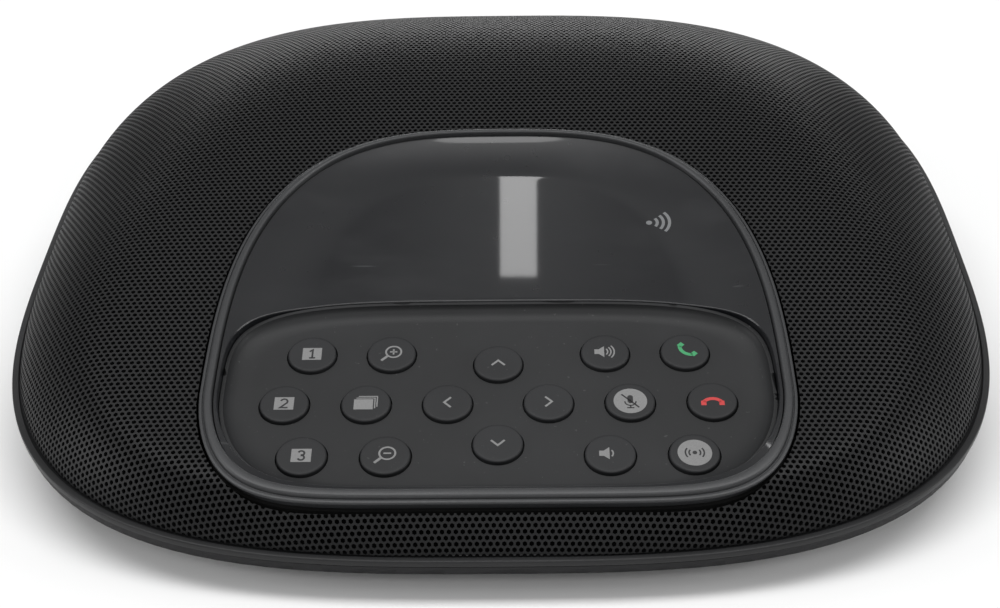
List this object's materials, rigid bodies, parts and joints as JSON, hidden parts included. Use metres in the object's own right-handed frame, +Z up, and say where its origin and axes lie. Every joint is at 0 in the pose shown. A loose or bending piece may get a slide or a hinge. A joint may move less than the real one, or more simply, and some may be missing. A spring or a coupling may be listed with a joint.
{
  "type": "conference speakerphone",
  "caption": "Rounded-square table speakerphone: domed perforated grille, sunk keypad of round keys under a dark display window, rear socket bay.",
  "frame": {"origin": "centre of the outline, on the surface that the foot rests on", "axes": "+Z up; -Y towards the user, where the keypad is; +X to the user's right"},
  "size_m": [0.24, 0.2386, 0.0661],
  "materials": {
    "housing": "fine matt moulded texture, near black",
    "foot_rubber": "matt",
    "screw_steel": "zinc plated",
    "trim": "satin charcoal",
    "grille": "satin charcoal powder coat on perforated steel",
    "cloth": "thin open black weave",
    "inner_plastic": "plain moulded",
    "bezel": "satin grey paint",
    "window": "hard-coated gloss, smoked black",
    "deck": "fine matt",
    "key": "fine matt",
    "silicone": "translucent grey silicone",
    "board": "solder mask",
    "display": "polarised glass",
    "copper": "bare winding",
    "tinned_steel": "tin plated",
    "capacitor": "sleeved can",
    "socket": "plain moulded",
    "contact": "gold flash",
    "magnet": "ferrite",
    "cone": "coated pulp",
    "soft_rubber": "soft",
    "microphone": "capsule can"
  },
  "bodies": {
    "base": {"lower_housing": "housing", "foot_ring": "foot_rubber", "housing_screws": "screw_steel", "trim_ring": "trim", "grille": "grille", "acoustic_cloth": "cloth", "chassis": "inner_plastic", "console_frame": "inner_plastic", "bezel_ring": "bezel", "window": "window", "keypad_deck": "deck", "keypad_mat": "silicone", "keypad_board": "board", "switch_domes": "screw_steel", "display_module": "display", "contactless_antenna": "copper", "main_board": "board", "processor_shield": "tinned_steel", "wireless_module": "tinned_steel", "board_capacitors": "capacitor", "board_screws": "screw_steel", "socket_block": "socket", "socket_contacts": "contact", "socket_board": "board", "speaker_chamber": "inner_plastic", "speaker_basket": "tinned_steel", "speaker_top_plate": "tinned_steel", "speaker_magnet": "magnet", "speaker_pole": "tinned_steel", "speaker_surround": "soft_rubber", "speaker_spider": "cloth", "speaker_gasket": "soft_rubber", "speaker_screws": "screw_steel", "microphone_rear_left": "microphone", "microphone_boot_rear_left": "soft_rubber", "microphone_rear_right": "microphone", "microphone_boot_rear_right": "soft_rubber", "microphone_front_left": "microphone", "microphone_boot_front_left": "soft_rubber", "microphone_front_right": "microphone", "microphone_boot_front_right": "soft_rubber"},
    "key_one": {"key_one": "key"},
    "key_zoom_in": {"key_zoom_in": "key"},
    "key_volume_up": {"key_volume_up": "key"},
    "key_answer": {"key_answer": "key"},
    "key_two": {"key_two": "key"},
    "key_pages": {"key_pages": "key"},
    "key_left": {"key_left": "key"},
    "key_right": {"key_right": "key"},
    "key_mute": {"key_mute": "key"},
    "key_hang_up": {"key_hang_up": "key"},
    "key_up": {"key_up": "key"},
    "key_down": {"key_down": "key"},
    "key_three": {"key_three": "key"},
    "key_zoom_out": {"key_zoom_out": "key"},
    "key_volume_down": {"key_volume_down": "key"},
    "key_wireless": {"key_wireless": "key"},
    "speaker_diaphragm": {"voice_coil": "copper", "speaker_cone": "cone", "dust_cap": "cone"}
  },
  "joints": [
    {"name": "key_one_press", "type": "slide", "parent": "base", "child": "key_one", "axis": [0, 0.2756, -0.9613], "range_m": [0, 0.0008], "stiffness_N_per_m": 1500, "springref_m": -0.0002, "deforming": ["keypad_mat", "switch_domes"]},
    {"name": "key_zoom_in_press", "type": "slide", "parent": "base", "child": "key_zoom_in", "axis": [0, 0.2756, -0.9613], "range_m": [0, 0.0008], "stiffness_N_per_m": 1500, "springref_m": -0.0002, "deforming": ["keypad_mat", "switch_domes"]},
    {"name": "key_volume_up_press", "type": "slide", "parent": "base", "child": "key_volume_up", "axis": [0, 0.2756, -0.9613], "range_m": [0, 0.0008], "stiffness_N_per_m": 1500, "springref_m": -0.0002, "deforming": ["keypad_mat", "switch_domes"]},
    {"name": "key_answer_press", "type": "slide", "parent": "base", "child": "key_answer", "axis": [0, 0.2756, -0.9613], "range_m": [0, 0.0008], "stiffness_N_per_m": 1500, "springref_m": -0.0002, "deforming": ["keypad_mat", "switch_domes"]},
    {"name": "key_two_press", "type": "slide", "parent": "base", "child": "key_two", "axis": [0, 0.2756, -0.9613], "range_m": [0, 0.0008], "stiffness_N_per_m": 1500, "springref_m": -0.0002, "deforming": ["keypad_mat", "switch_domes"]},
    {"name": "key_pages_press", "type": "slide", "parent": "base", "child": "key_pages", "axis": [0, 0.2756, -0.9613], "range_m": [0, 0.0008], "stiffness_N_per_m": 1500, "springref_m": -0.0002, "deforming": ["keypad_mat", "switch_domes"]},
    {"name": "key_left_press", "type": "slide", "parent": "base", "child": "key_left", "axis": [0, 0.2756, -0.9613], "range_m": [0, 0.0008], "stiffness_N_per_m": 1500, "springref_m": -0.0002, "deforming": ["keypad_mat", "switch_domes"]},
    {"name": "key_right_press", "type": "slide", "parent": "base", "child": "key_right", "axis": [0, 0.2756, -0.9613], "range_m": [0, 0.0008], "stiffness_N_per_m": 1500, "springref_m": -0.0002, "deforming": ["keypad_mat", "switch_domes"]},
    {"name": "key_mute_press", "type": "slide", "parent": "base", "child": "key_mute", "axis": [0, 0.2756, -0.9613], "range_m": [0, 0.0008], "stiffness_N_per_m": 1500, "springref_m": -0.0002, "deforming": ["keypad_mat", "switch_domes"]},
    {"name": "key_hang_up_press", "type": "slide", "parent": "base", "child": "key_hang_up", "axis": [0, 0.2756, -0.9613], "range_m": [0, 0.0008], "stiffness_N_per_m": 1500, "springref_m": -0.0002, "deforming": ["keypad_mat", "switch_domes"]},
    {"name": "key_up_press", "type": "slide", "parent": "base", "child": "key_up", "axis": [0, 0.2756, -0.9613], "range_m": [0, 0.0008], "stiffness_N_per_m": 1500, "springref_m": -0.0002, "deforming": ["keypad_mat", "switch_domes"]},
    {"name": "key_down_press", "type": "slide", "parent": "base", "child": "key_down", "axis": [0, 0.2756, -0.9613], "range_m": [0, 0.0008], "stiffness_N_per_m": 1500, "springref_m": -0.0002, "deforming": ["keypad_mat", "switch_domes"]},
    {"name": "key_three_press", "type": "slide", "parent": "base", "child": "key_three", "axis": [0, 0.2756, -0.9613], "range_m": [0, 0.0008], "stiffness_N_per_m": 1500, "springref_m": -0.0002, "deforming": ["keypad_mat", "switch_domes"]},
    {"name": "key_zoom_out_press", "type": "slide", "parent": "base", "child": "key_zoom_out", "axis": [0, 0.2756, -0.9613], "range_m": [0, 0.0008], "stiffness_N_per_m": 1500, "springref_m": -0.0002, "deforming": ["keypad_mat", "switch_domes"]},
    {"name": "key_volume_down_press", "type": "slide", "parent": "base", "child": "key_volume_down", "axis": [0, 0.2756, -0.9613], "range_m": [0, 0.0008], "stiffness_N_per_m": 1500, "springref_m": -0.0002, "deforming": ["keypad_mat", "switch_domes"]},
    {"name": "key_wireless_press", "type": "slide", "parent": "base", "child": "key_wireless", "axis": [0, 0.2756, -0.9613], "range_m": [0, 0.0008], "stiffness_N_per_m": 1500, "springref_m": -0.0002, "deforming": ["keypad_mat", "switch_domes"]},
    {"name": "diaphragm_stroke", "type": "slide", "parent": "base", "child": "speaker_diaphragm", "axis": [0, -0.1132, 0.9936], "range_m": [-0.002, 0.002], "stiffness_N_per_m": 1200, "deforming": ["speaker_surround", "speaker_spider"]}
  ]
}
